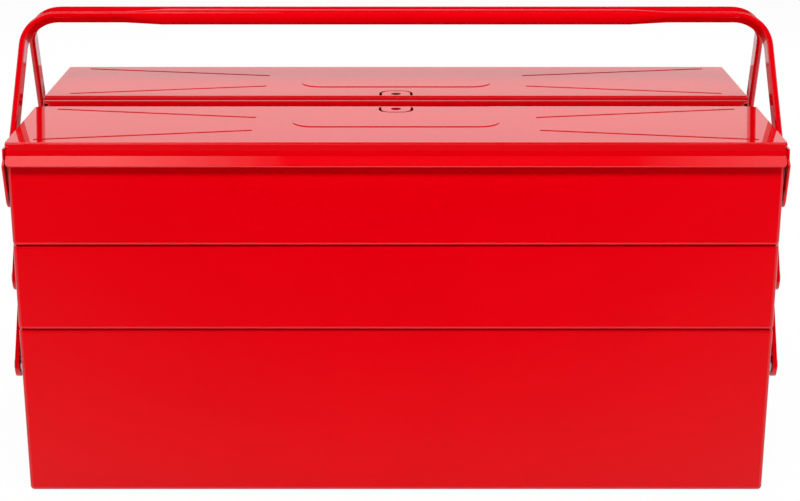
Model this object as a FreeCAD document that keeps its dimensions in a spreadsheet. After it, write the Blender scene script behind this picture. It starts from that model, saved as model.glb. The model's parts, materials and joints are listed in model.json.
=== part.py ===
import FreeCAD, Part
import math
import os
import types
import Sketcher
from FreeCAD import Placement, Rotation, Vector

# Cantilever tool box of folded sheet steel: one deep bottom box, two tiers of half-width
# trays that swing out on riveted arms at both ends, two hinged lids and two bail handles.
# Millimetres, +Z up, X along the length, the front at -Y, origin under the middle of the box.
# The front half is built first and the back half is made from it.

SIZES = {
    # Folded sheet boxes
    "body_length": 530,
    "body_depth": 262,
    "sheet_thickness": 1,
    "bend_radius": 3,
    "box_height": 123.5,
    "lower_tray_height": 61.5,
    "upper_tray_height": 67,
    "stack_gap": 0.5,
    "middle_gap": 15.2,
    "hem_height": 8,
    "hem_thickness": 2,
    "rim_radius": 1.2,
    "inner_rim_rise": 1,
    # Arms and the places of their pivots
    "arm_width": 18,
    "arm_thickness": 3,
    "arm_shift": 36.7,
    "arm_spacing": 25.7,
    "base_pivot_drop": 33.5,
    "base_pivot_inset": 22.5,
    "running_gap": 0.2,
    # Rivets and spacers
    "rivet_radius": 3,
    "rivet_clearance": 0.05,
    "rivet_tail_radius": 5,
    "rivet_tail_height": 1,
    "rivet_dome_radius": 5.5,
    "rivet_dome_height": 1.6,
    "spacer_radius": 6,
    # Lids
    "lid_pivot_inset": 15,
    "lid_pivot_drop": 33,
    "lid_seat_gap": 0.3,
    "lid_overhang": 5.1,
    "lid_back_overhang": 2.2,
    "lid_end_play": 0.8,
    "lid_front_inset": 3,
    "lid_corner_radius": 6,
    "apron_height": 3.5,
    "lip_reach": 6.9,
    "lip_fall": 5.3,
    "lip_corner_radius": 4,
    "stair_width": 13,
    "stair_drop": 2.7,
    "end_flange_depth": 18,
    "back_flange_depth": 5.5,
    "ear_thickness": 1.7,
    "ear_radius": 10,
    "ear_height": 34,
    "lid_head_height": 0.8,
    "lid_head_clearance": 0.3,
    # Pressed marks and the padlock tongue in the lids
    "crease_start": 101,
    "crease_end": 249,
    "crease_start_spread": 19,
    "crease_end_spread": 45,
    "crease_radius": 3,
    "crease_depth": 0.5,
    "panel_length": 148,
    "panel_width": 31,
    "panel_rise": 0.5,
    "panel_wall": 1,
    "panel_shift": 6.6,
    "tongue_cut_width": 25.4,
    "tongue_cut_reach": 17.6,
    "tongue_cut_gap": 2,
    "tongue_cut_radius": 9,
    "padlock_hole_radius": 3.75,
    "padlock_hole_inset": 6.2,
    # Bail handles
    "handle_pivot_inset": 73,
    "handle_pivot_drop": 20,
    "handle_lean_degrees": 29.7,
    "handle_splay_degrees": 3,
    "handle_gap": 0.5,
    "handle_width": 14.4,
    "handle_thickness": 4.6,
    "handle_bend_radius": 24,
    "grip_diameter": 11,
    "grip_flat": 0.2,
    "grip_taper_length": 28,
    "crossbar_flat_run": 49,
    # Overrun of every cut
    "cut_overrun": 1,
}

# The two soft stairs at each long edge of a lid, outwards from the crown: shares of stair_width
# across and of stair_drop down
STAIR_OUTLINE_SHARES = ((0, 0), (0.062, 0.26), (0.238, 0.296), (0.546, 0.667), (0.731, 0.704), (1, 1))

# Corners of a hinge plate from its pivot: shares of ear_radius along Y and of ear_height up
EAR_OUTLINE_SHARES = ((-0.976, -0.064), (-1.55, 0.69), (-1.1, 0.795), (-1, 1), (1, 1), (1, 0))

RIGHT = Vector(1, 0, 0)
INWARD = Vector(-1, 0, 0)
TO_THE_BACK = Vector(0, 1, 0)
UPWARD = Vector(0, 0, 1)

doc = FreeCAD.newDocument("CantileverToolBox")
sheet = doc.addObject("Spreadsheet::Sheet", "Sizes")
nodes = {}


class Size:
    """A dimension: its formula in the document and its present value."""

    def __init__(self, formula, value):
        self.formula = formula
        self.value = value

    def joined(self, sign, other, value):
        other = as_size(other)
        return Size(f"({self.formula} {sign} {other.formula})", value(self.value, other.value))

    def __add__(self, other):
        return self.joined("+", other, lambda a, b: a + b)

    def __sub__(self, other):
        return self.joined("-", other, lambda a, b: a - b)

    def __mul__(self, other):
        return self.joined("*", other, lambda a, b: a * b)

    def __truediv__(self, other):
        return self.joined("/", other, lambda a, b: a / b)

    def __neg__(self):
        return Size(f"(-{self.formula})", -self.value)


def as_size(number):
    return number if isinstance(number, Size) else Size(f"({number})", number)


def sine(angle):
    return Size(f"sin({angle.formula} * 1 deg)", math.sin(math.radians(angle.value)))


def cosine(angle):
    return Size(f"cos({angle.formula} * 1 deg)", math.cos(math.radians(angle.value)))


def slope_angle(rise, run):
    """The angle in degrees whose tangent is rise over run."""
    formula = f"(atan({rise.formula} / {run.formula}) / 1 deg)"
    return Size(formula, math.degrees(math.atan(rise.value / run.value)))


def diagonal(a, b):
    formula = f"sqrt({a.formula} * {a.formula} + {b.formula} * {b.formula})"
    return Size(formula, math.hypot(a.value, b.value))


def fill_sheet():
    """Writes the driving dimensions into the sheet and returns them as named sizes."""
    for row, (name, value) in enumerate(SIZES.items(), start=1):
        sheet.set(f"A{row}", name)
        sheet.set(f"B{row}", str(value))
        sheet.setAlias(f"B{row}", name)
    doc.recompute()
    return types.SimpleNamespace(**{
        name: Size(f"Sizes.{name}", float(getattr(sheet, name))) for name in SIZES
    })


mm = fill_sheet()


def bind(item, prop, size):
    item.setExpression(prop, as_size(size).formula)


def place(item, x, y, z):
    bind(item, "Placement.Base.x", x)
    bind(item, "Placement.Base.y", y)
    bind(item, "Placement.Base.z", z)


def new_sketch(body, role, offset):
    """A sketch on one of the body's own origin planes, moved along the plane's normal."""
    plane = next(item for item in body.Origin.OriginFeatures if item.Role == role)
    sketch = body.newObject("Sketcher::SketchObject", body.Name + "_sketch")
    sketch.AttachmentSupport = [(plane, "")]
    sketch.MapMode = "FlatFace"
    bind(sketch, ".AttachmentOffset.Base.z", offset)
    return sketch


def constrain(sketch, kind, *places_and_size):
    """Adds a dimension whose last argument is a named size."""
    *places, size = places_and_size
    index = sketch.addConstraint(Sketcher.Constraint(kind, *places, size.value))
    sketch.setExpression(f"Constraints[{index}]", size.formula)


def draw_outline(sketch, points):
    """A closed outline of straight lines through points given as pairs of sizes."""
    spots = [Vector(across.value, up.value, 0) for across, up in points]
    for index, spot in enumerate(spots):
        sketch.addGeometry(Part.LineSegment(spot, spots[(index + 1) % len(spots)]), False)
    for index, (across, up) in enumerate(points):
        following = (index + 1) % len(points)
        sketch.addConstraint(Sketcher.Constraint("Coincident", index, 2, following, 1))
        constrain(sketch, "DistanceX", -1, 1, index, 1, across)
        constrain(sketch, "DistanceY", -1, 1, index, 1, up)


def pad(body, sketch, length):
    feature = body.newObject("PartDesign::Pad", body.Name + "_pad")
    feature.Profile = sketch
    bind(feature, "Length", length)
    return feature


def strip(name, points, x_from, x_to):
    """A sheet section drawn across the box (Y, Z) and run along X."""
    body = doc.addObject("PartDesign::Body", name)
    sketch = new_sketch(body, "YZ_Plane", x_from)
    draw_outline(sketch, points)
    pad(body, sketch, x_to - x_from)
    return body


def round_edges(body, feature, radius, chosen):
    """Rounds the edges of the feature for which chosen(edge) is true."""
    doc.recompute()
    names = [f"Edge{n}" for n, edge in enumerate(feature.Shape.Edges, start=1) if chosen(edge)]
    rounded = body.newObject("PartDesign::Fillet", body.Name + "_round")
    rounded.Base = (feature, names)
    bind(rounded, "Radius", radius)
    return rounded


def rounded_block(name, x, y, z, corner, foot=False, rim=None):
    """A block with upright corners rounded, and on request its foot and rim edges too."""
    body = doc.addObject("PartDesign::Body", name)
    sketch = new_sketch(body, "XY_Plane", z[0])
    bind(sketch, ".AttachmentOffset.Base.x", x[0])
    bind(sketch, ".AttachmentOffset.Base.y", y[0])
    zero = as_size(0)
    length = x[1] - x[0]
    depth = y[1] - y[0]
    draw_outline(sketch, ((zero, zero), (length, zero), (length, depth), (zero, depth)))
    block = pad(body, sketch, z[1] - z[0])

    def is_upright(edge):
        return edge.BoundBox.ZLength > edge.BoundBox.XLength + edge.BoundBox.YLength

    def is_at(edge, level):
        box = edge.BoundBox
        return abs(box.ZMin - level.value) + abs(box.ZMax - level.value) < mm.sheet_thickness.value / 10

    def is_foot_or_upright(edge):
        return is_upright(edge) or is_at(edge, z[0])

    block = round_edges(body, block, corner, is_foot_or_upright if foot else is_upright)
    if rim:
        round_edges(body, block, rim, lambda edge: is_at(edge, z[1]))
    return body


def disc(name, radius, x_from, x_to, y, z):
    """A round bar along X."""
    bar = doc.addObject("Part::Cylinder", name)
    bar.Placement = Placement(Vector(), Rotation(TO_THE_BACK, 90))
    bind(bar, "Radius", radius)
    bind(bar, "Height", x_to - x_from)
    place(bar, x_from, y, z)
    return bar


def post(name, radius, x, y, z_from, z_to):
    """A round bar along Z."""
    bar = doc.addObject("Part::Cylinder", name)
    bind(bar, "Radius", radius)
    bind(bar, "Height", z_to - z_from)
    place(bar, x, y, z_from)
    return bar


def block(name, x, y, z):
    box = doc.addObject("Part::Box", name)
    bind(box, "Length", x[1] - x[0])
    bind(box, "Width", y[1] - y[0])
    bind(box, "Height", z[1] - z[0])
    place(box, x[0], y[0], z[0])
    return box


def fused(name, shapes):
    item = doc.addObject("Part::MultiFuse", name)
    item.Shapes = shapes
    item.Refine = True
    return item


def cut(name, base, tools):
    item = doc.addObject("Part::Cut", name)
    item.Base = base
    item.Tool = tools[0] if len(tools) == 1 else fused(name + "_cutters", tools)
    return item


def common(name, first, second):
    item = doc.addObject("Part::MultiCommon", name)
    item.Shapes = [first, second]
    return item


def group(name, shapes):
    item = doc.addObject("Part::Compound", name)
    item.Links = shapes
    return item


def mirrored(source, normal):
    item = doc.addObject("Part::Mirroring", source.Name + "_mirror")
    item.Source = source
    item.Normal = normal
    return item


def half_turned(source):
    """The same piece turned half round about the box's upright middle line."""
    item = group(source.Name + "_turned", [source])
    item.Placement = Placement(Vector(), Rotation(UPWARD, 180))
    return item


def at_both_ends(name, right_ones):
    """Pieces of the right end and their mirror images at the left end."""
    return group(name, right_ones + [mirrored(item, RIGHT) for item in right_ones])


def keep(label, item):
    item.Label = label
    nodes[label] = item
    return item


# Levels and places that several pieces share, worked out from the sheet
half_length = mm.body_length / 2
half_depth = mm.body_depth / 2
lower_base = mm.box_height + mm.stack_gap
lower_rim = lower_base + mm.lower_tray_height
upper_base = lower_rim + mm.stack_gap
upper_rim = upper_base + mm.upper_tray_height
tray_front = -half_depth
tray_rear = -mm.middle_gap / 2

arm_rise = mm.lower_tray_height + mm.stack_gap
arm_lean = slope_angle(mm.arm_shift, arm_rise)
arm_pitch = diagonal(mm.arm_shift, arm_rise)
hole_radius = mm.rivet_radius + mm.rivet_clearance

# Pivots of the front half as (Y, Z): three on the long arm, and those of the short arms
base_long = (tray_front + mm.base_pivot_inset, mm.box_height - mm.base_pivot_drop)
middle_long = (base_long[0] + mm.arm_shift, base_long[1] + arm_rise)
upper_long = (middle_long[0] + mm.arm_shift, middle_long[1] + arm_rise)
base_short = (base_long[0] + mm.arm_spacing, base_long[1])
middle_short_below = (middle_long[0] + mm.arm_spacing, middle_long[1])
middle_short_above = (middle_long[0] - mm.arm_spacing, middle_long[1])
upper_short = (upper_long[0] - mm.arm_spacing, upper_long[1])
lid_pivot = (tray_front + mm.lid_pivot_inset, upper_rim - mm.lid_pivot_drop)
handle_pivot = (tray_front + mm.handle_pivot_inset, upper_rim - mm.handle_pivot_drop)

# Layers outside the end wall: lid flange, hinge plate, its flat rivet head, then the arms with
# their domed heads and, outermost, the feet of the handles
flange_inside = half_length + mm.lid_end_play
flange_outside = flange_inside + mm.sheet_thickness
ear_outside = flange_outside + mm.ear_thickness
lid_head_inside = ear_outside + mm.running_gap
lid_head_outside = lid_head_inside + mm.lid_head_height
arm_inside = lid_head_outside + mm.lid_head_clearance
arm_outside = arm_inside + mm.arm_thickness
arm_head_inside = arm_outside + mm.running_gap
handle_inside = arm_head_inside + mm.rivet_dome_height + mm.running_gap
handle_outside = handle_inside + mm.handle_thickness
spacer_outside = arm_inside - mm.running_gap
wall_inside = half_length - mm.sheet_thickness


def wall_hole(name, pivot):
    """A rivet hole through the right end wall."""
    outside = half_length + mm.cut_overrun
    return disc(name, hole_radius, wall_inside - mm.cut_overrun, outside, *pivot)


def sheet_box(name, rear, base, rim, pivots):
    """An open box of folded sheet with hemmed rims and rivet holes in both ends."""
    front = tray_front
    shell = rounded_block(
        name + "_shell", (-half_length, half_length), (front, rear), (base, rim),
        mm.bend_radius, foot=True, rim=mm.rim_radius)
    hem = mm.hem_thickness
    throat = rounded_block(
        name + "_throat", (hem - half_length, half_length - hem), (front + hem, rear - hem),
        (base + mm.bend_radius, rim + mm.cut_overrun), mm.bend_radius - hem)
    wall = mm.sheet_thickness
    hollow = rounded_block(
        name + "_hollow", (wall - half_length, half_length - wall), (front + wall, rear - wall),
        (base + wall, rim - mm.hem_height), mm.bend_radius - wall, foot=True)
    holes = [wall_hole(f"{name}_hole", pivot) for pivot in pivots]
    return cut(name, shell, [throat, hollow, at_both_ends(name + "_holes", holes)])


def rivet(name, pivot, head_base):
    """A shank with a flat tail inside the wall and a domed head over the moving piece."""
    tail_start = wall_inside - mm.rivet_tail_height
    shank = disc(name + "_shank", mm.rivet_radius, tail_start, head_base, *pivot)
    tail = disc(name + "_tail", mm.rivet_tail_radius, tail_start, wall_inside, *pivot)
    return fused(name, [shank, tail, dome(name + "_dome", pivot, head_base)])


def dome(name, pivot, head_base):
    """The cap of a ball, as wide and as high as a rivet head."""
    width = mm.rivet_dome_radius
    height = mm.rivet_dome_height
    ball_radius = (width * width / height + height) / 2
    below = ball_radius - height
    cap = doc.addObject("Part::Sphere", name)
    cap.Placement = Placement(Vector(), Rotation(TO_THE_BACK, 90))
    bind(cap, "Radius", ball_radius)
    bind(cap, "Angle1", slope_angle(below, width))
    place(cap, head_base - below, *pivot)
    return cap


def flat_rivet(name, pivot, head_base, head_end):
    """A shank with a flat tail inside the wall and a thin flat head outside."""
    tail_start = wall_inside - mm.rivet_tail_height
    shank = disc(name + "_shank", mm.rivet_radius, tail_start, head_base, *pivot)
    tail = disc(name + "_tail", mm.rivet_tail_radius, tail_start, wall_inside, *pivot)
    head = disc(name + "_head", mm.rivet_dome_radius, head_base, head_end, *pivot)
    return fused(name, [shank, tail, head])


def spacer(name, pivot, outside):
    """A ring on the rivet between the end wall and the moving piece."""
    ring = disc(name + "_ring", mm.spacer_radius, half_length, outside, *pivot)
    start = half_length - mm.cut_overrun
    bore = disc(name + "_bore", hole_radius, start, outside + mm.cut_overrun, *pivot)
    return cut(name, ring, [bore])


def arm_rivets(name, pivots):
    return [rivet(f"{name}_rivet", pivot, arm_head_inside) for pivot in pivots]


def arm_spacers(name, pivots):
    return [spacer(f"{name}_spacer", pivot, spacer_outside) for pivot in pivots]


def arm(name, pivot, pitches):
    """A flat bar with round ends and a hole at each pitch, leaning in towards the middle."""
    half_width = mm.arm_width / 2
    length = arm_pitch * pitches
    zero = as_size(0)
    layer = (arm_inside, arm_outside)
    bar = block(name + "_bar", layer, (-half_width, half_width), (zero, length))
    ends = [disc(name + "_end", half_width, *layer, zero, arm_pitch * end) for end in (0, pitches)]
    start = arm_inside - mm.cut_overrun
    finish = arm_outside + mm.cut_overrun
    holes = [
        disc(name + "_hole", hole_radius, start, finish, zero, arm_pitch * number)
        for number in range(pitches + 1)
    ]
    item = cut(name, fused(name + "_blank", [bar] + ends), holes)
    item.Placement = Placement(Vector(), Rotation(INWARD, 1))
    bind(item, "Placement.Rotation.Angle", arm_lean)
    place(item, zero, *pivot)
    return item


# Lid section: places across the box (Y) and levels (Z)
edge_level = upper_rim + mm.inner_rim_rise + mm.lid_seat_gap + mm.sheet_thickness
lid_underside = edge_level - mm.sheet_thickness
crown_level = edge_level + mm.stair_drop
apron_front = tray_front - mm.lid_overhang
lid_rear = tray_rear + mm.lid_back_overhang
crown_front = apron_front + mm.stair_width
crown_rear = lid_rear - mm.stair_width
crown_middle = (crown_front + crown_rear) / 2


def stairs(crown_edge, side):
    """The outer line of the stairs, from the crown's edge outwards to the lid's edge."""
    return [
        (crown_edge + mm.stair_width * side * across, crown_level - mm.stair_drop * down)
        for across, down in STAIR_OUTLINE_SHARES]


def underside(points):
    """The lower face of the sheet under an outer line, drawn back the other way."""
    return [(y, z - mm.sheet_thickness) for y, z in reversed(points)]


def full_outline():
    """The whole lid section, with the apron and lip in front and the flange behind."""
    thin = mm.sheet_thickness
    top = stairs(crown_front, -1)[::-1] + stairs(crown_rear, 1)
    lip_length = diagonal(mm.lip_reach, mm.lip_fall)
    apron_foot = edge_level - mm.apron_height
    lip_tip = (apron_front - mm.lip_reach, apron_foot - mm.lip_fall)
    lip_inside = (
        lip_tip[0] + thin * mm.lip_fall / lip_length, lip_tip[1] - thin * mm.lip_reach / lip_length)
    root_inside = apron_front + thin
    root_level = lip_inside[1] + (root_inside - lip_inside[0]) * mm.lip_fall / mm.lip_reach
    flange_foot = crown_level - mm.back_flange_depth
    flange = [(lid_rear, flange_foot), (lid_rear - thin, flange_foot), (lid_rear - thin, lid_underside)]
    apron = [(root_inside, lid_underside), (root_inside, root_level), lip_inside]
    return [lip_tip, (apron_front, apron_foot)] + top + flange + underside(top[1:-1]) + apron


def lid_blank():
    """The folded and pressed lid before its marks and holes."""
    full_half = flange_outside - mm.lid_front_inset
    foot = crown_level - mm.end_flange_depth
    level = (foot - mm.cut_overrun, crown_level + mm.cut_overrun)
    lip_end = apron_front - mm.lip_reach
    section = strip("lid_section", full_outline(), -full_half, full_half)
    section_plan = rounded_block(
        "lid_section_plan", (-full_half, full_half), (lip_end, lid_rear), level, mm.lip_corner_radius)
    crown_line = stairs(crown_front, -1)[-3::-1] + stairs(crown_rear, 1)
    crown = strip("lid_crown", crown_line + underside(crown_line), -flange_inside, flange_inside)
    flange_line = crown_line[:-1]
    flange_points = [(flange_line[0][0], foot)] + flange_line + [(flange_line[-1][0], foot)]
    flange = strip("lid_flange", flange_points, flange_inside, flange_outside)
    folded = fused("lid_folded", [crown, flange, mirrored(flange, RIGHT)])
    plan = rounded_block(
        "lid_plan", (-flange_outside, flange_outside), (flange_line[0][0], lid_rear), level,
        mm.lid_corner_radius)
    return fused("lid_blank", [
        common("lid_front", section, section_plan), common("lid_top", folded, plan)])


def crease(name, side, spread_side):
    """A shallow round groove that spreads from the middle towards one end of the lid."""
    run = mm.crease_end - mm.crease_start
    spread = mm.crease_end_spread - mm.crease_start_spread
    bar = doc.addObject("Part::Cylinder", name + "_bar")
    bar.Placement = Placement(Vector(), Rotation(TO_THE_BACK, 90 * side))
    bind(bar, "Radius", mm.crease_radius)
    bind(bar, "Height", diagonal(run, spread))
    item = group(name, [bar])
    turn = Rotation(UPWARD * side * spread_side, 1)
    item.Placement = Placement(Vector(), turn)
    bind(item, "Placement.Rotation.Angle", slope_angle(spread, run))
    y = crown_middle + mm.crease_start_spread * spread_side
    place(item, mm.crease_start * side, y, crown_level + mm.crease_radius - mm.crease_depth)
    return item


def stadium_plate(name, half_run, radius, y, z):
    """An upright plate with round ends, long along X."""
    middle = block(name + "_middle", (-half_run, half_run), (y - radius, y + radius), z)
    ends = [post(name + "_end", radius, half_run * side, y, *z) for side in (-1, 1)]
    return fused(name, [middle] + ends)


def padlock_slot():
    """The U-shaped cut that frees a tongue in the lid, open towards the middle of the box."""
    half_width = mm.tongue_cut_width / 2
    front = crown_rear - mm.tongue_cut_reach
    level = (lid_underside, crown_level + mm.cut_overrun)
    gap = mm.tongue_cut_gap
    around = rounded_block(
        "slot_outside", (-half_width, half_width), (front, crown_rear + mm.tongue_cut_radius),
        level, mm.tongue_cut_radius)
    tongue = rounded_block(
        "slot_inside", (gap - half_width, half_width - gap),
        (front + gap, crown_rear + mm.tongue_cut_radius), level, mm.tongue_cut_radius - gap)
    beyond = block("slot_end", (-half_width, half_width),
                   (crown_rear - mm.sheet_thickness, lid_rear), level)
    return cut("padlock_slot", around, [tongue, beyond])


def lid():
    """One pressed lid with its creases, plain raised panel and padlock tongue."""
    half_run = (mm.panel_length - mm.panel_width) / 2
    radius = mm.panel_width / 2
    panel_y = crown_middle + mm.panel_shift
    under = crown_level - mm.sheet_thickness
    panel = stadium_plate(
        "lid_panel", half_run, radius, panel_y, (under, crown_level + mm.panel_rise))
    recess = stadium_plate(
        "lid_recess", half_run, radius - mm.panel_wall, panel_y,
        (under - mm.cut_overrun, under + mm.panel_rise))
    creases = [
        crease("lid_crease", side, spread_side) for side in (-1, 1) for spread_side in (-1, 1)]
    hole = post("padlock_hole", mm.padlock_hole_radius, as_size(0),
                crown_rear - mm.padlock_hole_inset, lid_underside, crown_level + mm.cut_overrun)
    blank = fused("lid_with_panel", [lid_blank(), panel])
    return cut("lid", blank, [recess, padlock_slot(), hole] + creases)


def hinge_plate():
    """The plate on the right end of a lid that reaches down to the lid pivot."""
    pivot_y, pivot_z = lid_pivot
    points = [
        (pivot_y + mm.ear_radius * across, pivot_z + mm.ear_height * up)
        for across, up in EAR_OUTLINE_SHARES]
    plate = strip("hinge_plate_upper", points, flange_outside, ear_outside)
    end = disc("hinge_plate_end", mm.ear_radius, flange_outside, ear_outside, *lid_pivot)
    start = flange_outside - mm.cut_overrun
    hole = disc("hinge_plate_hole", hole_radius, start, ear_outside + mm.cut_overrun, *lid_pivot)
    return cut("hinge_plate", fused("hinge_plate_blank", [plate, end]), [hole])


# The crossbars of the two bails nearly meet over the middle of the box
handle_lean = mm.handle_lean_degrees
handle_half_flat = (mm.handle_width - mm.handle_thickness) / 2
crossbar_y = -(mm.handle_gap + mm.handle_thickness) / 2 - handle_half_flat * cosine(handle_lean)
leg_length = (crossbar_y - handle_pivot[0]) / sine(handle_lean)
foot_middle = handle_inside + mm.handle_thickness / 2

# The legs spread from the crossbar down to their feet outside the arms
bend_centre_height = leg_length - mm.handle_bend_radius
splay_cosine = cosine(mm.handle_splay_degrees)
splay_shift = bend_centre_height * sine(mm.handle_splay_degrees) / splay_cosine
bend_centre_x = foot_middle - splay_shift - mm.handle_bend_radius / splay_cosine
flat_start = bend_centre_x - mm.crossbar_flat_run
grip_end = flat_start - mm.grip_taper_length


def bar_section(body, at_x, width, thickness):
    """A sketch of the bar's section, flat above and below and round at both sides."""
    sketch = new_sketch(body, "YZ_Plane", at_x)
    reach = (width - thickness) / 2
    radius = thickness / 2
    right = Vector(reach.value, leg_length.value, 0)
    left = Vector(-reach.value, leg_length.value, 0)
    up = Vector(0, radius.value, 0)
    quarter = math.pi / 2
    sketch.addGeometry(Part.ArcOfCircle(
        Part.Circle(right, UPWARD, radius.value), -quarter, quarter), False)
    sketch.addGeometry(Part.LineSegment(right + up, left + up), False)
    sketch.addGeometry(Part.ArcOfCircle(
        Part.Circle(left, UPWARD, radius.value), quarter, 3 * quarter), False)
    sketch.addGeometry(Part.LineSegment(left - up, right - up), False)
    for piece in range(4):
        sketch.addConstraint(Sketcher.Constraint("Tangent", piece, 2, (piece + 1) % 4, 1))
    sketch.addConstraint(Sketcher.Constraint("Horizontal", 1))
    constrain(sketch, "DistanceX", -1, 1, 0, 3, reach)
    constrain(sketch, "DistanceY", -1, 1, 0, 3, leg_length)
    constrain(sketch, "DistanceX", 2, 3, 0, 3, reach * 2)
    constrain(sketch, "DistanceY", -1, 1, 2, 3, leg_length)
    constrain(sketch, "Radius", 0, radius)
    return sketch


def bend_path(body, start):
    """The centreline from the crossbar round the corner and down to the pivot."""
    sketch = new_sketch(body, "XZ_Plane", as_size(0))
    bend = mm.handle_bend_radius
    centre = Vector(bend_centre_x.value, bend_centre_height.value, 0)
    splay = math.radians(mm.handle_splay_degrees.value)
    top = leg_length.value
    leg_top = centre + Vector(math.cos(splay), math.sin(splay), 0) * bend.value
    sketch.addGeometry(Part.LineSegment(
        Vector(start.value, top, 0), Vector(centre.x, top, 0)), False)
    sketch.addGeometry(Part.ArcOfCircle(
        Part.Circle(centre, UPWARD, bend.value), splay, math.pi / 2), False)
    sketch.addGeometry(Part.LineSegment(leg_top, Vector(foot_middle.value, 0, 0)), False)
    sketch.addConstraint(Sketcher.Constraint("Tangent", 0, 2, 1, 2))
    sketch.addConstraint(Sketcher.Constraint("Tangent", 1, 1, 2, 1))
    sketch.addConstraint(Sketcher.Constraint("Horizontal", 0))
    sketch.addConstraint(Sketcher.Constraint("PointOnObject", 2, 2, -1))
    constrain(sketch, "Radius", 1, bend)
    constrain(sketch, "DistanceX", -1, 1, 0, 1, start)
    constrain(sketch, "DistanceY", -1, 1, 0, 1, leg_length)
    constrain(sketch, "DistanceX", -1, 1, 1, 3, bend_centre_x)
    constrain(sketch, "DistanceX", -1, 1, 2, 2, foot_middle)
    return sketch


def handle():
    """A bail of one bar: round in the middle, flattened towards and down both legs."""
    body = doc.addObject("PartDesign::Body", "handle_bar")
    grip = (mm.grip_diameter, mm.grip_diameter - mm.grip_flat)
    flat = (mm.handle_width, mm.handle_thickness)
    pad(body, bar_section(body, as_size(0), *grip), grip_end)
    taper = body.newObject("PartDesign::AdditiveLoft", "handle_taper")
    taper.Profile = bar_section(body, grip_end, *grip)
    taper.Sections = [bar_section(body, flat_start, *flat)]
    leg = body.newObject("PartDesign::AdditivePipe", "handle_leg")
    leg.Profile = bar_section(body, flat_start, *flat)
    leg.Spine = bend_path(body, flat_start)
    zero = as_size(0)
    layer = (handle_inside, handle_outside)
    end = disc("handle_end", mm.handle_width / 2, *layer, zero, zero)
    start = handle_inside - mm.cut_overrun
    seat = disc("handle_seat", mm.handle_width / 2, start, handle_inside, zero, zero)
    hole = disc("handle_hole", hole_radius, start, handle_outside + mm.cut_overrun, zero, zero)
    half = cut("handle_half", fused("handle_half_blank", [body, end]), [seat, hole])
    item = fused("handle", [half, mirrored(half, RIGHT)])
    item.Placement = Placement(Vector(), Rotation(INWARD, 1))
    bind(item, "Placement.Rotation.Angle", handle_lean)
    place(item, zero, *handle_pivot)
    return item


def keep_pair(label, right_one):
    """The same piece at the right end and, mirrored, at the left end."""
    keep(label + "_right", right_one)
    keep(label + "_left", mirrored(right_one, RIGHT))


def front_half():
    """Every piece of the front half, in order from the lower tray up to the handle."""
    lower_pivots = [middle_long, middle_short_below, middle_short_above]
    upper_pivots = [upper_long, upper_short]
    keep("front_lower_tray", sheet_box(
        "lower_tray", tray_rear, lower_base, lower_rim, lower_pivots))
    keep("front_lower_tray_rivets", at_both_ends(
        "lower_tray_rivets", arm_rivets("lower_tray", lower_pivots)))
    keep("front_lower_tray_spacers", at_both_ends(
        "lower_tray_spacers", arm_spacers("lower_tray", lower_pivots)))
    upper_box = sheet_box(
        "upper_tray_box", tray_rear, upper_base, upper_rim,
        upper_pivots + [lid_pivot, handle_pivot])
    inner_rim = block(
        "upper_tray_inner_rim",
        (mm.bend_radius - half_length, half_length - mm.bend_radius),
        (tray_rear - mm.hem_thickness, tray_rear),
        (upper_rim - mm.hem_height, upper_rim + mm.inner_rim_rise))
    keep("front_upper_tray", fused("upper_tray", [upper_box, inner_rim]))
    keep("front_upper_tray_rivets", at_both_ends(
        "upper_tray_rivets", arm_rivets("upper_tray", upper_pivots)))
    keep("front_upper_tray_spacers", at_both_ends(
        "upper_tray_spacers", arm_spacers("upper_tray", upper_pivots)))
    keep_pair("front_long_arm", arm("long_arm", base_long, 2))
    keep_pair("front_lower_short_arm", arm("lower_short_arm", base_short, 1))
    keep_pair("front_upper_short_arm", arm("upper_short_arm", middle_short_above, 1))
    keep("front_lid", lid())
    keep_pair("front_lid_hinge_plate", hinge_plate())
    keep("front_lid_rivets", at_both_ends("lid_rivets", [
        flat_rivet("lid_rivet", lid_pivot, lid_head_inside, lid_head_outside)]))
    keep("front_lid_spacers", at_both_ends("lid_spacers", [
        spacer("lid_spacer", lid_pivot, flange_outside - mm.running_gap)]))
    keep("front_handle", handle())
    keep("front_handle_rivets", at_both_ends("handle_rivets", [
        rivet("handle_rivet", handle_pivot, handle_outside + mm.running_gap)]))
    keep("front_handle_spacers", at_both_ends("handle_spacers", [
        spacer("handle_spacer", handle_pivot, handle_inside - mm.running_gap)]))


def back_half():
    """Every front piece again behind: the upper tray turned half round, the others mirrored."""
    for label in [label for label in nodes if label.startswith("front_")]:
        again = (
            half_turned(nodes[label]) if label == "front_upper_tray"
            else mirrored(nodes[label], TO_THE_BACK))
        keep(label.replace("front_", "back_"), again)


def bottom_box():
    """The deep box that carries the arms of both halves."""
    pivots = [base_long, base_short]
    back_pivots = [(-y, z) for y, z in pivots]
    keep("bottom_box", sheet_box(
        "bottom_box", half_depth, as_size(0), mm.box_height, pivots + back_pivots))
    keep("bottom_box_rivets", at_both_ends(
        "bottom_box_rivets", arm_rivets("bottom_box", pivots + back_pivots)))
    keep("bottom_box_spacers", at_both_ends(
        "bottom_box_spacers", arm_spacers("bottom_box", pivots + back_pivots)))


def check_document():
    """Stops if any object failed or any kept shape is empty or invalid."""
    for item in doc.Objects:
        if "Invalid" in item.State or "Error" in item.State:
            raise RuntimeError(f"{item.Label} failed: {item.State}")
    for label, item in nodes.items():
        if item.Shape.isNull() or not item.Shape.isValid() or not item.Shape.Solids:
            raise RuntimeError(f"{label} has no valid shape")


bottom_box()
front_half()
back_half()
doc.recompute()
check_document()
os.makedirs("parts", exist_ok=True)
for node_label, node in nodes.items():
    node.Shape.exportStep(f"parts/{node_label}.step")
print(len(nodes), "parts written")
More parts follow.
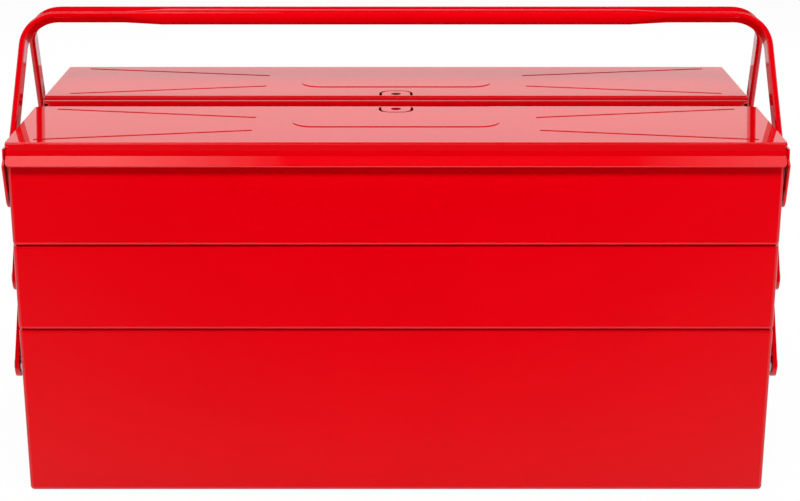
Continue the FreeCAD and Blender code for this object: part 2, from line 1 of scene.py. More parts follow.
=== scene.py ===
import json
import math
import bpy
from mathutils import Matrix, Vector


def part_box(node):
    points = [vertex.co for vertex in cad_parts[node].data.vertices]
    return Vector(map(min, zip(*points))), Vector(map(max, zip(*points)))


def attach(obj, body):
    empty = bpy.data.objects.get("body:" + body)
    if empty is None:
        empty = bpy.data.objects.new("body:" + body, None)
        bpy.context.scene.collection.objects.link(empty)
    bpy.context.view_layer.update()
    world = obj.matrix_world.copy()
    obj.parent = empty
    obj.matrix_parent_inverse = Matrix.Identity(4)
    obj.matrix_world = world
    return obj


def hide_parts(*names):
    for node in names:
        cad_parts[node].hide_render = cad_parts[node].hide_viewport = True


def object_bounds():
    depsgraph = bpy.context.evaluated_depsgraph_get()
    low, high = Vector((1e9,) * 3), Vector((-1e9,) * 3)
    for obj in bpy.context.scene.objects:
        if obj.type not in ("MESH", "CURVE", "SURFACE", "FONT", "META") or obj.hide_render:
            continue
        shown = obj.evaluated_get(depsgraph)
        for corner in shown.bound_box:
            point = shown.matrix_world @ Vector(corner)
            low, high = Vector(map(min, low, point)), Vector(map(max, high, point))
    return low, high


bl_info = {
    "name": "Cantilever Tool Box",
    "version": (1, 0, 0),
    "blender": (4, 5, 0),
    "location": "View3D > Sidebar > Tool Box",
    "description": "Dresses a red enamelled cantilever tool box and sets it on a studio floor",
    "category": "Object",
}

import bmesh
import bpy
from bpy.props import FloatProperty, FloatVectorProperty, IntProperty, PointerProperty
from mathutils import Vector

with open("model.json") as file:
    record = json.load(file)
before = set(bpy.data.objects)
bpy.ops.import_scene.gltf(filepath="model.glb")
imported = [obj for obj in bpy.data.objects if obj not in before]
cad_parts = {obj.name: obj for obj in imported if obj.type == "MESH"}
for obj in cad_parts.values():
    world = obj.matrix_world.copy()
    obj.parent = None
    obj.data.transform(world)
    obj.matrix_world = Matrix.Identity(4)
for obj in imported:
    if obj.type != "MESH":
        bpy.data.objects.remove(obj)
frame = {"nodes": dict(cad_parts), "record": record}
CAD_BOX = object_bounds()
NODES = frame["nodes"]

MM = 0.001
HALVES = ("front", "back")
BEHAVIOUR = frame["record"]["behaviour"]
BODY_OF_NODE = {node: body for body, members in BEHAVIOUR["bodies"].items() for node in members}
PIVOTS = {joint["name"]: Vector(joint["pos_m"]) for joint in BEHAVIOUR["joints"]}
END_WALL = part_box("bottom_box")[1].x

# Half outlines from rim to middle, as shares of radius and of height: a domed rivet head, and the
# flat head that also serves as the tail inside the wall
DOME_SHARES = ((1, 0), (0.985, 0.2), (0.92, 0.45), (0.76, 0.74), (0.5, 0.92), (0.22, 0.985), (0, 1))
FLAT_SHARES = ((1, 0), (1, 0.6), (0.94, 1), (0.3, 1), (0.24, 0.7), (0, 0.7))

RED_ENAMEL = "red_enamel"
LID_ENAMEL = "lid_enamel"
PLATED_STEEL = "plated_steel"

# Enamel: width of its clouds, how far its roughness strays, and the glancing shares between which
# the gloss comes in
CLOUD_SIZE = 90 * MM
CLOUD_ROUGHNESS = 0.06
GLOSS_START, GLOSS_END = 0.04, 0.22

# Where the lids' creases lie, which get painted shade: depths below the panel's top, distances from
# the box's middle line, and the slopes of the shade's edges at both
CREASE_DEPTHS = (1.1 * MM, 0.5 * MM)
CREASE_DEPTH_SLOPE = 0.05 * MM
CREASE_SPOTS = (21 * MM, 120 * MM)
CREASE_SPOT_SLOPE = 1 * MM

# Plated steel: shares of its colour and roughness that the grain varies between, and its relief
GRAIN_DARK_SHARE = 0.8
GRAIN_ROUGHNESS_SHARES = (0.8, 1.25)
GRAIN_DETAIL = 4.0
GRAIN_DEPTH = 0.01 * MM

# Finishing of the CAD meshes
WELD_DISTANCE = 0.005 * MM
FLAT_ANGLE = math.radians(0.3)
SHARP_ANGLE = math.radians(40)

# Turned pieces: distance at which their rings join, and the spacer bore's slack as a share of its
# chamfer
JOIN_DISTANCE = 0.001 * MM
BORE_SLACK_SHARE = 0.17

# Studio: the floor, and the heights between which the sky's white wall fades to its dim top
FLOOR_REACH = 8.0
FLOOR_ROUGHNESS = 0.9
WALL_HEIGHTS = (0.3, 0.5)
TOP_WHITENESS = 0.03

# The aimed lamps: name, place and size, with the setting that holds the power
AIMED_LAMPS = (
    ("front_lamp", Vector((0.1, -1.5, 1.3)), (1.6, 0.35), "front_power"),
    ("top_lamp", Vector((0.1, -0.1, 1.9)), (1.0, 1.0), "top_power"),
    ("back_lamp", Vector((0.1, 1.6, 0.9)), (1.6, 0.8), "back_power"))

# The soft boxes over the ends. Each is a stack of lamps with one outer edge, whose inner edges
# are spread from the first to the second distance from the middle.
SOFT_STEPS = 8
SOFT_STEP_RISE = 2 * MM
SOFT_OUTER_EDGE = 1.1
SOFT_DEPTH = 0.7
SOFT_FORWARD = 0.11
SOFT_HEIGHT = 1.6
SOFT_BOXES = (
    ("left_box", -1, (0.17, 0.42), "left_power"),
    ("right_box", 1, (0.36, 0.55), "right_power"))


def colour_property(name, description, default):
    return FloatVectorProperty(
        name=name, description=description, subtype="COLOR", size=3, min=0, max=1, default=default)


def length_property(name, description, default):
    return FloatProperty(
        name=name, description=description, unit="LENGTH", subtype="DISTANCE", precision=5,
        default=default)


class ToolBoxEnamel(bpy.types.PropertyGroup):
    colour: colour_property("Colour", "Body colour of the stoved enamel", (0.66, 0.0, 0.0035))
    deep_colour: colour_property("Deep colour", "Colour where the coat is thicker", (0.6, 0.0, 0.003))
    # Painted shade: a darker colour and less gloss in the lids' creases stand in for the shade that
    # falls in them
    painted_crease_shade: colour_property("Painted crease shade", "Colour in the lids' creases", (0.5, 0.0, 0.004))
    crease_gloss: FloatProperty(
        name="Crease gloss", description="Share of the gloss left in the lids' creases", min=0, max=1,
        default=0.15)
    roughness: FloatProperty(
        name="Roughness", description="Roughness of the pigment layer", min=0, max=1, default=0.4)
    coat_roughness: FloatProperty(
        name="Gloss roughness", description="Roughness of the gloss", min=0, max=1, default=0.05)
    coat_ior: FloatProperty(
        name="Gloss index", description="Refractive index of the gloss", min=1, max=2, default=1.45)
    peel_size: length_property("Peel size", "Width of one orange-peel dimple", 3.5 * MM)
    peel_depth: length_property("Peel depth", "Depth of the orange peel", 0.004 * MM)


class ToolBoxSteel(bpy.types.PropertyGroup):
    colour: colour_property("Colour", "Zinc-plated rivet steel", (0.55, 0.55, 0.56))
    roughness: FloatProperty(
        name="Roughness", description="Roughness of the plating", min=0, max=1, default=0.32)
    grain_size: length_property("Grain size", "Size of the plating's grain", 0.6 * MM)


class ToolBoxRivets(bpy.types.PropertyGroup):
    shank_radius: length_property("Shank radius", "Radius of every rivet shank", 3 * MM)
    head_radius: length_property("Head radius", "Radius of every rivet head", 5.5 * MM)
    head_height: length_property("Head height", "Height of a domed head", 1.6 * MM)
    flat_height: length_property("Flat head height", "Height of a lid rivet's flat head", 0.8 * MM)
    tail_radius: length_property("Tail radius", "Radius of the tail inside the wall", 5 * MM)
    tail_height: length_property("Tail height", "Height of the tail inside the wall", 1 * MM)
    wall: length_property("Wall", "Thickness of the sheet under the tail", 1 * MM)
    spacer_radius: length_property("Spacer radius", "Radius of the ring on each rivet", 6 * MM)
    chamfer: length_property("Chamfer", "Broken edge of each spacer", 0.3 * MM)
    sides: IntProperty(
        name="Sides", description="Sides of each turned piece", min=12, max=96, default=48)


class ToolBoxFolds(bpy.types.PropertyGroup):
    edge_radius: length_property("Edge radius", "Radius on every cut sheet edge", 0.3 * MM)
    edge_segments: IntProperty(
        name="Edge segments", description="Steps round each cut edge", min=1, max=4, default=2)
    smooth_angle: FloatProperty(
        name="Smooth angle", description="Bends flatter than this shade smooth", subtype="ANGLE",
        default=math.radians(32))


class ToolBoxStudio(bpy.types.PropertyGroup):
    floor_colour: colour_property("Floor", "Colour of the floor", (0.96, 0.96, 0.96))
    floor_whiteness: FloatProperty(
        name="Floor whiteness", description="Share of plain white that the camera sees on the floor",
        min=0, max=1, default=0.96)
    sky_strength: FloatProperty(
        name="Sky", description="Strength of the even light from all round", default=0.08)
    front_power: FloatProperty(
        name="Front lamp", description="Power of the lamp before and above the front", unit="POWER",
        default=30)
    top_power: FloatProperty(
        name="Top lamp", description="Power of the lamp above the lids", unit="POWER", default=11)
    back_power: FloatProperty(
        name="Back lamp", description="Power of the lamp behind the back", unit="POWER", default=14)
    left_power: FloatProperty(
        name="Left lamp", description="Power of the soft box above the left end", unit="POWER",
        default=4.2)
    right_power: FloatProperty(
        name="Right lamp", description="Power of the soft box above the right end", unit="POWER",
        default=1.8)


class ToolBoxCamera(bpy.types.PropertyGroup):
    place: FloatVectorProperty(
        name="Place", description="Where the lens stands", subtype="TRANSLATION", unit="LENGTH",
        size=3, default=(0.0, -1.254, 0.550))
    pitch: FloatProperty(
        name="Pitch", description="Angle of the view below the horizon", subtype="ANGLE",
        default=math.radians(18.1))
    lens: FloatProperty(name="Lens", description="Focal length in millimetres", default=76.92)
    shift: FloatProperty(name="Shift", description="Sideways shift of the frame", default=0.005)


SETTINGS = (
    ToolBoxEnamel, ToolBoxSteel, ToolBoxRivets, ToolBoxFolds, ToolBoxStudio, ToolBoxCamera)
SETTING_NAMES = ("enamel", "steel", "rivets", "folds", "studio", "view")


def link(tree, source, target):
    tree.links.new(source, target)


def new_material(name):
    """An empty node material with its Principled shader and Object coordinates."""
    material = bpy.data.materials.new(name)
    material.use_nodes = True
    tree = material.node_tree
    shader = next(node for node in tree.nodes if node.type == "BSDF_PRINCIPLED")
    coordinates = tree.nodes.new("ShaderNodeTexCoord").outputs["Object"]
    return material, tree, shader, coordinates


def calculate(tree, operation, first, second=0.0):
    """A Math node on two sockets or numbers."""
    node = tree.nodes.new("ShaderNodeMath")
    node.operation = operation
    for socket, value in zip(node.inputs, (first, second)):
        if isinstance(value, bpy.types.NodeSocket):
            link(tree, value, socket)
        else:
            socket.default_value = value
    return node.outputs[0]


def noise(tree, coordinates, size, detail=2.0):
    """Noise whose features are about size across."""
    node = tree.nodes.new("ShaderNodeTexNoise")
    node.inputs["Scale"].default_value = 1 / size
    node.inputs["Detail"].default_value = detail
    link(tree, coordinates, node.inputs["Vector"])
    return node.outputs["Fac"]


def bump(tree, height, distance):
    node = tree.nodes.new("ShaderNodeBump")
    node.inputs["Distance"].default_value = distance
    link(tree, height, node.inputs["Height"])
    return node.outputs["Normal"]


def remap(tree, value, low, high, start=0.0, end=1.0):
    """Spreads a value that runs from start to end over low to high."""
    node = tree.nodes.new("ShaderNodeMapRange")
    node.inputs["From Min"].default_value = start
    node.inputs["From Max"].default_value = end
    node.inputs["To Min"].default_value = low
    node.inputs["To Max"].default_value = high
    link(tree, value, node.inputs["Value"])
    return node.outputs["Result"]


def mix_colours(tree, factor, first, second):
    """Mixes two colours, each a socket or three channels."""
    node = tree.nodes.new("ShaderNodeMix")
    node.data_type = "RGBA"
    colour_sockets = [socket for socket in node.inputs if socket.type == "RGBA"]
    for socket, colour in zip(colour_sockets, (first, second)):
        if isinstance(colour, bpy.types.NodeSocket):
            link(tree, colour, socket)
        else:
            socket.default_value = (*colour, 1)
    link(tree, factor, node.inputs["Factor"])
    return next(socket for socket in node.outputs if socket.type == "RGBA")


def window(tree, value, low, high, slope):
    """1 where the value lies between low and high, 0 beyond, with short slopes between."""
    rise = remap(tree, value, 0.0, 1.0, low, low + slope)
    fall = remap(tree, value, 0.0, 1.0, high, high - slope)
    return calculate(tree, "MULTIPLY", rise, fall)


def painted_shade_mask(tree, place):
    """1 in the creases pressed into the lids' crowns, where shade is painted, 0 elsewhere."""
    spot = tree.nodes.new("ShaderNodeSeparateXYZ")
    link(tree, place, spot.inputs["Vector"])
    low, high = (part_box("front_lid")[1].z - depth for depth in CREASE_DEPTHS)
    level = window(tree, spot.outputs["Z"], low, high, CREASE_DEPTH_SLOPE)
    across = calculate(tree, "ABSOLUTE", spot.outputs["Y"])
    crown = window(tree, across, *CREASE_SPOTS, CREASE_SPOT_SLOPE)
    return calculate(tree, "MULTIPLY", level, crown)


def enamel_material(name, creased=False):
    """Glossy red stoved enamel with a faint orange peel, a slightly uneven coat and, on the lids,
    painted shade in the creases: a darker colour and less gloss there."""
    look = bpy.context.scene.tool_box_enamel
    material, tree, shader, place = new_material(name)
    tone = mix_colours(tree, noise(tree, place, CLOUD_SIZE), look.colour, look.deep_colour)
    if creased:
        # Painted shade: the creases' colour is darkened in place of the shade that falls in them
        painted_shading = painted_shade_mask(tree, place)
        tone = mix_colours(tree, painted_shading, tone, look.painted_crease_shade)
    link(tree, tone, shader.inputs["Base Color"])
    rough = remap(
        tree, noise(tree, place, CLOUD_SIZE / 3), look.roughness - CLOUD_ROUGHNESS,
        look.roughness + CLOUD_ROUGHNESS)
    link(tree, rough, shader.inputs["Roughness"])
    peel = bump(tree, noise(tree, place, look.peel_size), look.peel_depth)
    link(tree, peel, shader.inputs["Normal"])
    link(tree, peel, shader.inputs["Coat Normal"])
    glancing = tree.nodes.new("ShaderNodeLayerWeight").outputs["Facing"]
    gloss = remap(tree, glancing, 0.0, 1.0, GLOSS_START, GLOSS_END)
    gloss.node.interpolation_type = "SMOOTHSTEP"
    # The gloss is cut in the creases too, darkening them further as part of the painted shade
    if creased:
        gloss = calculate(tree, "MULTIPLY", gloss, remap(tree, painted_shading, 1.0, look.crease_gloss))
    link(tree, gloss, shader.inputs["Coat Weight"])
    shader.inputs["Specular IOR Level"].default_value = 0.0
    shader.inputs["Coat Roughness"].default_value = look.coat_roughness
    shader.inputs["Coat IOR"].default_value = look.coat_ior
    return material


def steel_material():
    """Zinc-plated steel with a fine crystalline grain."""
    look = bpy.context.scene.tool_box_steel
    material, tree, shader, place = new_material(PLATED_STEEL)
    grain = noise(tree, place, look.grain_size, GRAIN_DETAIL)
    dark = tuple(channel * GRAIN_DARK_SHARE for channel in look.colour)
    link(tree, mix_colours(tree, grain, look.colour, dark), shader.inputs["Base Color"])
    smoothest, roughest = (look.roughness * share for share in GRAIN_ROUGHNESS_SHARES)
    link(tree, remap(tree, grain, smoothest, roughest), shader.inputs["Roughness"])
    link(tree, bump(tree, grain, GRAIN_DEPTH), shader.inputs["Normal"])
    shader.inputs["Metallic"].default_value = 1.0
    return material


def material_named(name):
    """The material of that name, made when it is first asked for."""
    if name in bpy.data.materials:
        return bpy.data.materials[name]
    if name == PLATED_STEEL:
        return steel_material()
    return enamel_material(name, creased=name == LID_ENAMEL)


def smoothing_tree():
    """Smooths the bends that are flatter than the given angle."""
    name = "smooth_bends"
    if name in bpy.data.node_groups:
        return bpy.data.node_groups[name]
    tree = bpy.data.node_groups.new(name, "GeometryNodeTree")
    tree.interface.new_socket("Geometry", in_out="INPUT", socket_type="NodeSocketGeometry")
    tree.interface.new_socket("Angle", in_out="INPUT", socket_type="NodeSocketFloat")
    tree.interface.new_socket("Geometry", in_out="OUTPUT", socket_type="NodeSocketGeometry")
    start = tree.nodes.new("NodeGroupInput")
    end = tree.nodes.new("NodeGroupOutput")
    smooth = tree.nodes.new("GeometryNodeSetShadeSmooth")
    sharp = tree.nodes.new("GeometryNodeSetShadeSmooth")
    sharp.domain = "EDGE"
    sharp.inputs["Shade Smooth"].default_value = False
    edge_angle = tree.nodes.new("GeometryNodeInputMeshEdgeAngle")
    steep = tree.nodes.new("FunctionNodeCompare")
    steep.operation = "GREATER_THAN"
    link(tree, edge_angle.outputs["Unsigned Angle"], steep.inputs["A"])
    link(tree, start.outputs["Angle"], steep.inputs["B"])
    link(tree, start.outputs["Geometry"], smooth.inputs["Geometry"])
    link(tree, smooth.outputs["Geometry"], sharp.inputs["Geometry"])
    link(tree, steep.outputs["Result"], sharp.inputs["Selection"])
    link(tree, sharp.outputs["Geometry"], end.inputs["Geometry"])
    return tree


def finish_sheet(node):
    """Joins a node's faces, breaks its sharp edges and smooths its bends, with modifiers alone."""
    folds = bpy.context.scene.tool_box_folds
    weld = node.modifiers.new("Join faces", "WELD")
    weld.merge_threshold = WELD_DISTANCE
    flat = node.modifiers.new("Clear flats", "DECIMATE")
    flat.decimate_type = "DISSOLVE"
    flat.angle_limit = FLAT_ANGLE
    edges = node.modifiers.new("Break edges", "BEVEL")
    edges.width = folds.edge_radius
    edges.segments = folds.edge_segments
    edges.limit_method = "ANGLE"
    edges.angle_limit = SHARP_ANGLE
    smooth = node.modifiers.new("Smooth bends", "NODES")
    smooth.node_group = smoothing_tree()
    socket = next(
        item for item in smooth.node_group.interface.items_tree
        if item.name == "Angle" and item.in_out == "INPUT")
    smooth[socket.identifier] = folds.smooth_angle
    level = node.modifiers.new("Keep flats flat", "WEIGHTED_NORMAL")
    level.keep_sharp = True


def dress(node_name, material_name):
    """Finishes one CAD node in one material."""
    node = NODES[node_name]
    finish_sheet(node)
    node.data.materials.clear()
    node.data.materials.append(material_named(material_name))


def nodes_like(*endings):
    return [name for name in NODES if name.endswith(endings)]


class DressStep:
    """A step that finishes CAD nodes: pairs of the ends of their names and a material."""
    finishes = ()

    def execute(self, context):
        for endings, material_name in self.finishes:
            for name in nodes_like(*endings):
                dress(name, material_name)
        return {"FINISHED"}


class DressBoxes(DressStep, bpy.types.Operator):
    """Finishes the bottom box and the four trays in red enamel"""
    bl_idname = "toolbox.dress_boxes"
    bl_label = "Boxes and trays"
    finishes = ((("bottom_box", "_tray"), RED_ENAMEL),)


class DressLids(DressStep, bpy.types.Operator):
    """Finishes both lids and their hinge plates in red enamel"""
    bl_idname = "toolbox.dress_lids"
    bl_label = "Lids and hinge plates"
    finishes = (
        (("_lid",), LID_ENAMEL),
        (("_hinge_plate_left", "_hinge_plate_right"), RED_ENAMEL))


class DressArms(DressStep, bpy.types.Operator):
    """Finishes the twelve swing arms in red enamel"""
    bl_idname = "toolbox.dress_arms"
    bl_label = "Swing arms"
    finishes = ((("_arm_left", "_arm_right"), RED_ENAMEL),)


class DressHandles(DressStep, bpy.types.Operator):
    """Finishes the two bail handles in red enamel"""
    bl_idname = "toolbox.dress_handles"
    bl_label = "Bail handles"
    finishes = ((("_handle",), RED_ENAMEL),)


class TurnedPiece:
    """A node tree that turns half outlines into rings of faces and sets them on its points."""

    def __init__(self, name, sizes):
        self.tree = bpy.data.node_groups.new(name, "GeometryNodeTree")
        interface = self.tree.interface
        interface.new_socket("Geometry", in_out="INPUT", socket_type="NodeSocketGeometry")
        interface.new_socket("Sides", in_out="INPUT", socket_type="NodeSocketInt")
        for label in sizes:
            interface.new_socket(label, in_out="INPUT", socket_type="NodeSocketFloat")
        interface.new_socket("Material", in_out="INPUT", socket_type="NodeSocketMaterial")
        interface.new_socket("Geometry", in_out="OUTPUT", socket_type="NodeSocketGeometry")
        self.given = self.tree.nodes.new("NodeGroupInput")
        self.rings = self.tree.nodes.new("GeometryNodeJoinGeometry")

    def node(self, kind, **inputs):
        """A node of the tree with its inputs linked to sockets or set to values."""
        item = self.tree.nodes.new(kind)
        for label, value in inputs.items():
            socket = item.inputs[label.replace("_", " ")]
            if isinstance(value, bpy.types.NodeSocket):
                link(self.tree, value, socket)
            else:
                socket.default_value = value
        return item

    def size(self, label):
        return self.given.outputs[label]

    def times(self, first, second):
        return calculate(self.tree, "MULTIPLY", first, second)

    def plus(self, first, second):
        return calculate(self.tree, "ADD", first, second)

    def minus(self, first, second):
        return calculate(self.tree, "SUBTRACT", first, second)

    def turn(self, outline):
        """Adds a ring of faces between each two points (radius, height) of the outline."""
        for (low_radius, low), (high_radius, high) in zip(outline, outline[1:]):
            ring = self.node(
                "GeometryNodeMeshCone", Vertices=self.size("Sides"), Radius_Bottom=low_radius,
                Radius_Top=high_radius, Depth=self.minus(high, low))
            ring.fill_type = "NONE"
            lift = self.node("ShaderNodeCombineXYZ", Z=low)
            moved = self.node(
                "GeometryNodeTransform", Geometry=ring.outputs["Mesh"],
                Translation=lift.outputs["Vector"])
            link(self.tree, moved.outputs["Geometry"], self.rings.inputs["Geometry"])

    def finish(self):
        """Sets one turned piece on every point, facing out of the end that the point is at."""
        whole = self.node(
            "GeometryNodeMergeByDistance", Geometry=self.rings.outputs["Geometry"],
            Distance=JOIN_DISTANCE)
        place = self.tree.nodes.new("GeometryNodeInputPosition")
        across = self.node("ShaderNodeSeparateXYZ", Vector=place.outputs["Position"])
        side = calculate(self.tree, "SIGN", across.outputs["X"])
        turn = self.node("ShaderNodeCombineXYZ", Y=self.times(side, math.pi / 2))
        copies = self.node(
            "GeometryNodeInstanceOnPoints", Points=self.given.outputs["Geometry"],
            Instance=whole.outputs["Geometry"], Rotation=turn.outputs["Vector"])
        real = self.node("GeometryNodeRealizeInstances", Geometry=copies.outputs["Instances"])
        dressed = self.node(
            "GeometryNodeSetMaterial", Geometry=real.outputs["Geometry"],
            Material=self.given.outputs["Material"])
        result = self.tree.nodes.new("NodeGroupOutput")
        link(self.tree, dressed.outputs["Geometry"], result.inputs["Geometry"])
        return self.tree


def head_outline(piece, shares, radius, base, height):
    """The outline's points at their real radii and heights."""
    return [
        (piece.times(radius, across), piece.plus(base, piece.times(height, up)))
        for across, up in shares]


def rivet_tree(name, head_shares):
    """A shank with a tail inside the wall, a head over the moving piece and a spacer between."""
    piece = TurnedPiece(name, (
        "Shank radius", "Head radius", "Head height", "Tail radius", "Tail height", "Wall",
        "Head base", "Spacer radius", "Spacer length", "Chamfer"))
    shank_radius, head_base = piece.size("Shank radius"), piece.size("Head base")
    under_wall = piece.minus(0.0, piece.size("Wall"))
    tail = head_outline(
        piece, FLAT_SHARES, piece.size("Tail radius"), under_wall,
        piece.minus(0.0, piece.size("Tail height")))
    shank = [(shank_radius, under_wall), (shank_radius, head_base)]
    head = head_outline(
        piece, head_shares, piece.size("Head radius"), head_base, piece.size("Head height"))
    piece.turn(tail[::-1] + shank + head)
    chamfer = piece.size("Chamfer")
    bore = piece.plus(shank_radius, piece.times(chamfer, BORE_SLACK_SHARE))
    outside = piece.size("Spacer radius")
    inner = piece.minus(outside, chamfer)
    length = piece.size("Spacer length")
    piece.turn([
        (bore, 0.0), (inner, 0.0), (outside, chamfer), (outside, piece.minus(length, chamfer)),
        (inner, length), (bore, length), (bore, 0.0)])
    return piece.finish()


def turned_pieces(name, tree, points, values):
    """Runs the tree on a mesh of points and keeps the result as a plain mesh."""
    seed_mesh = bpy.data.meshes.new(name + "_points")
    seed_mesh.from_pydata(points, [], [])
    seed = bpy.data.objects.new(name + "_points", seed_mesh)
    bpy.context.scene.collection.objects.link(seed)
    maker = seed.modifiers.new("Turned pieces", "NODES")
    maker.node_group = tree
    for item in tree.interface.items_tree:
        if item.in_out == "INPUT" and item.name in values:
            maker[item.identifier] = values[item.name]
    seed.update_tag()
    evaluated = seed.evaluated_get(bpy.context.evaluated_depsgraph_get())
    mesh = bpy.data.meshes.new_from_object(evaluated)
    bpy.data.objects.remove(seed)
    shape = bmesh.new()
    shape.from_mesh(mesh)
    bmesh.ops.recalc_face_normals(shape, faces=shape.faces)
    for face in shape.faces:
        face.smooth = True
    smooth_angle = bpy.context.scene.tool_box_folds.smooth_angle
    for edge in shape.edges:
        edge.smooth = edge.is_manifold and edge.calc_face_angle(0) < smooth_angle
    shape.to_mesh(mesh)
    shape.free()
    mesh.name = name
    piece = bpy.data.objects.new(name, mesh)
    bpy.context.scene.collection.objects.link(piece)
    return piece


def arm_pivots(half):
    """The rivet places of one half on the bottom box, the lower tray and the upper tray."""
    base = PIVOTS[f"{half}_swing"]
    base_short = PIVOTS[f"{half}_lower_short_arm_swing"]
    middle = PIVOTS[f"{half}_lower_tray_level"]
    middle_above = PIVOTS[f"{half}_upper_short_arm_swing"]
    upper = PIVOTS[f"{half}_upper_tray_level"]
    return {
        "bottom_box": [base, base_short],
        f"{half}_lower_tray": [middle, middle + base_short - base, middle_above],
        f"{half}_upper_tray": [upper, upper + middle_above - middle]}


def rivet_sets():
    """Each group of rivets: the start of its nodes' names and the pivots it stands on."""
    sets = {"bottom_box": []}
    for half in HALVES:
        for name, pivots in arm_pivots(half).items():
            sets.setdefault(name, []).extend(pivots)
        sets[f"{half}_lid"] = [PIVOTS[f"{half}_lid_hinge"]]
        sets[f"{half}_handle"] = [PIVOTS[f"{half}_handle_hinge"]]
    return sets


class MakeRivets(bpy.types.Operator):
    """Turns the rivets and spacers in plated steel with geometry nodes"""
    bl_idname = "toolbox.make_rivets"
    bl_label = "Rivets and spacers"

    def execute(self, context):
        sizes = context.scene.tool_box_rivets
        trees = {
            False: rivet_tree("domed_rivet", DOME_SHARES),
            True: rivet_tree("flat_rivet", FLAT_SHARES)}
        for name, pivots in rivet_sets().items():
            is_flat = name.endswith("_lid")
            height = sizes.flat_height if is_flat else sizes.head_height
            rivets, spacers = f"{name}_rivets", f"{name}_spacers"
            head_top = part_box(rivets)[1].x
            points = [
                (side * END_WALL, pivot.y, pivot.z) for side in (-1, 1) for pivot in pivots]
            piece = turned_pieces(f"{name}_turned_rivets", trees[is_flat], points, {
                "Sides": sizes.sides, "Shank radius": sizes.shank_radius,
                "Head radius": sizes.head_radius, "Head height": height,
                "Tail radius": sizes.tail_radius, "Tail height": sizes.tail_height,
                "Wall": sizes.wall, "Head base": head_top - height - END_WALL,
                "Spacer radius": sizes.spacer_radius,
                "Spacer length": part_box(spacers)[1].x - END_WALL, "Chamfer": sizes.chamfer,
                "Material": material_named(PLATED_STEEL)})
            if not piece.data.polygons:
                raise RuntimeError(f"{piece.name} came out empty")
            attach(piece, BODY_OF_NODE[rivets])
            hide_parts(rivets, spacers)
        return {"FINISHED"}


def area_lamp(name, place, size, power, reflected):
    """A rectangular lamp that shines straight down until it is turned."""
    data = bpy.data.lights.new(name, "AREA")
    data.shape = "RECTANGLE"
    data.size, data.size_y = size
    data.energy = power
    lamp = bpy.data.objects.new(name, data)
    lamp.location = place
    lamp.visible_glossy = reflected
    bpy.context.scene.collection.objects.link(lamp)
    return lamp


def soft_box(name, side, inner_edges, power):
    """Lamps over one end, stacked so that their light fades out between the two inner edges."""
    first, last = inner_edges
    edges = [first + (last - first) * step / (SOFT_STEPS - 1) for step in range(SOFT_STEPS)]
    total_width = sum(SOFT_OUTER_EDGE - edge for edge in edges)
    for step, edge in enumerate(edges):
        width = SOFT_OUTER_EDGE - edge
        place = (
            side * (SOFT_OUTER_EDGE + edge) / 2, -SOFT_FORWARD,
            SOFT_HEIGHT + step * SOFT_STEP_RISE)
        area_lamp(f"{name}_{step}", place, (width, SOFT_DEPTH), power * width / total_width, True)


def seen_directly(tree):
    """1 for what the camera, a reflection or glass sees, 0 for the light on the object."""
    rays = tree.nodes.new("ShaderNodeLightPath")
    seen = rays.outputs["Is Camera Ray"]
    for name in ("Is Glossy Ray", "Is Transmission Ray"):
        seen = calculate(tree, "MAXIMUM", seen, rays.outputs[name])
    return seen


def sky(strength):
    """A weak even sky, with a white wall that fades upwards for the camera and reflections."""
    world = bpy.data.worlds.new("studio_sky")
    bpy.context.scene.world = world
    world.use_nodes = True
    tree = world.node_tree
    background = next(node for node in tree.nodes if node.type == "BACKGROUND")
    direction = tree.nodes.new("ShaderNodeTexCoord").outputs["Generated"]
    height = tree.nodes.new("ShaderNodeSeparateXYZ")
    link(tree, direction, height.inputs["Vector"])
    wall = remap(tree, height.outputs["Z"], 1.0, TOP_WHITENESS, *WALL_HEIGHTS)
    level = tree.nodes.new("ShaderNodeMix")
    level.inputs["A"].default_value = strength
    link(tree, seen_directly(tree), level.inputs["Factor"])
    link(tree, wall, level.inputs["B"])
    link(tree, level.outputs["Result"], background.inputs["Strength"])
    background.inputs["Color"].default_value = (1, 1, 1, 1)


def floor_material(studio):
    """Matt pale floor that the camera sees nearly white, with the object's shadow left in it."""
    material, tree, shader, _ = new_material("matt_floor")
    shader.inputs["Base Color"].default_value = (*studio.floor_colour, 1)
    shader.inputs["Roughness"].default_value = FLOOR_ROUGHNESS
    shader.inputs["Specular IOR Level"].default_value = 0.0
    white = tree.nodes.new("ShaderNodeEmission")
    both = tree.nodes.new("ShaderNodeMixShader")
    output = next(node for node in tree.nodes if node.type == "OUTPUT_MATERIAL")
    share = calculate(tree, "MULTIPLY", seen_directly(tree), studio.floor_whiteness)
    link(tree, share, both.inputs["Fac"])
    link(tree, shader.outputs[0], both.inputs[1])
    link(tree, white.outputs[0], both.inputs[2])
    link(tree, both.outputs[0], output.inputs["Surface"])
    return material


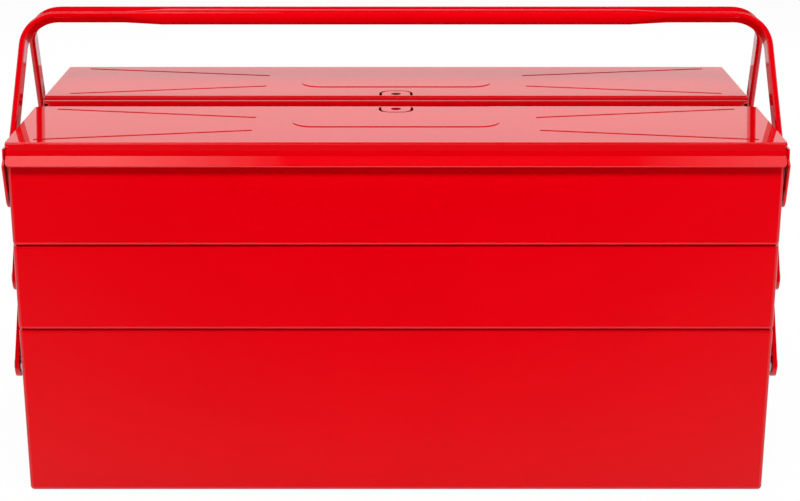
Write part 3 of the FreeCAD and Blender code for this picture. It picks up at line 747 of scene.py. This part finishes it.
class BuildStudio(bpy.types.Operator):
    """Lays a pale floor and lights the box with a soft sky and large lamps"""
    bl_idname = "toolbox.build_studio"
    bl_label = "Studio"

    def execute(self, context):
        studio = context.scene.tool_box_studio
        mesh = bpy.data.meshes.new("studio_floor")
        corners = [
            (side * FLOOR_REACH, depth * FLOOR_REACH, 0)
            for side, depth in ((-1, -1), (1, -1), (1, 1), (-1, 1))]
        mesh.from_pydata(corners, [], [(0, 1, 2, 3)])
        floor = bpy.data.objects.new("studio_floor", mesh)
        context.scene.collection.objects.link(floor)
        mesh.materials.append(floor_material(studio))
        sky(studio.sky_strength)
        middle = (CAD_BOX[0] + CAD_BOX[1]) / 2
        for name, place, size, setting in AIMED_LAMPS:
            lamp = area_lamp(name, place, size, getattr(studio, setting), False)
            lamp.rotation_euler = (middle - place).to_track_quat("-Z", "Y").to_euler()
        for name, side, inner_edges, setting in SOFT_BOXES:
            soft_box(name, side, inner_edges, getattr(studio, setting))
        context.scene.view_settings.view_transform = "Standard"
        return {"FINISHED"}


class PlaceCamera(bpy.types.Operator):
    """Stands the camera before the box, looking slightly down at it"""
    bl_idname = "toolbox.place_camera"
    bl_label = "Camera"

    def execute(self, context):
        view = context.scene.tool_box_view
        data = bpy.data.cameras.new("studio_camera")
        data.lens = view.lens
        data.shift_x = view.shift
        camera = bpy.data.objects.new("studio_camera", data)
        camera.location = view.place
        camera.rotation_euler = (math.pi / 2 - view.pitch, 0, 0)
        context.scene.collection.objects.link(camera)
        context.scene.camera = camera
        return {"FINISHED"}


OPERATORS = (
    PlaceCamera, DressBoxes, DressLids, DressArms, DressHandles, MakeRivets, BuildStudio)


class ToolBoxPanel(bpy.types.Panel):
    """Lists the steps that dress the tool box"""
    bl_idname = "VIEW3D_PT_tool_box"
    bl_label = "Tool Box"
    bl_space_type = "VIEW_3D"
    bl_region_type = "UI"
    bl_category = "Tool Box"

    def draw(self, context):
        for operator in OPERATORS:
            self.layout.operator(operator.bl_idname)
        for name in SETTING_NAMES:
            group = getattr(context.scene, f"tool_box_{name}")
            box = self.layout.box()
            for key in group.bl_rna.properties.keys():
                if key not in ("rna_type", "name"):
                    box.prop(group, key)


def register():
    for group, name in zip(SETTINGS, SETTING_NAMES):
        bpy.utils.register_class(group)
        setattr(bpy.types.Scene, f"tool_box_{name}", PointerProperty(type=group))
    for item in (*OPERATORS, ToolBoxPanel):
        bpy.utils.register_class(item)


def unregister():
    for item in reversed((*OPERATORS, ToolBoxPanel)):
        bpy.utils.unregister_class(item)
    for group, name in zip(SETTINGS, SETTING_NAMES):
        delattr(bpy.types.Scene, f"tool_box_{name}")
        bpy.utils.unregister_class(group)


def main():
    """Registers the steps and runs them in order."""
    register()
    for operator in OPERATORS:
        getattr(bpy.ops.toolbox, operator.bl_idname.split(".")[1])()


if __name__ == "__main__":
    main()
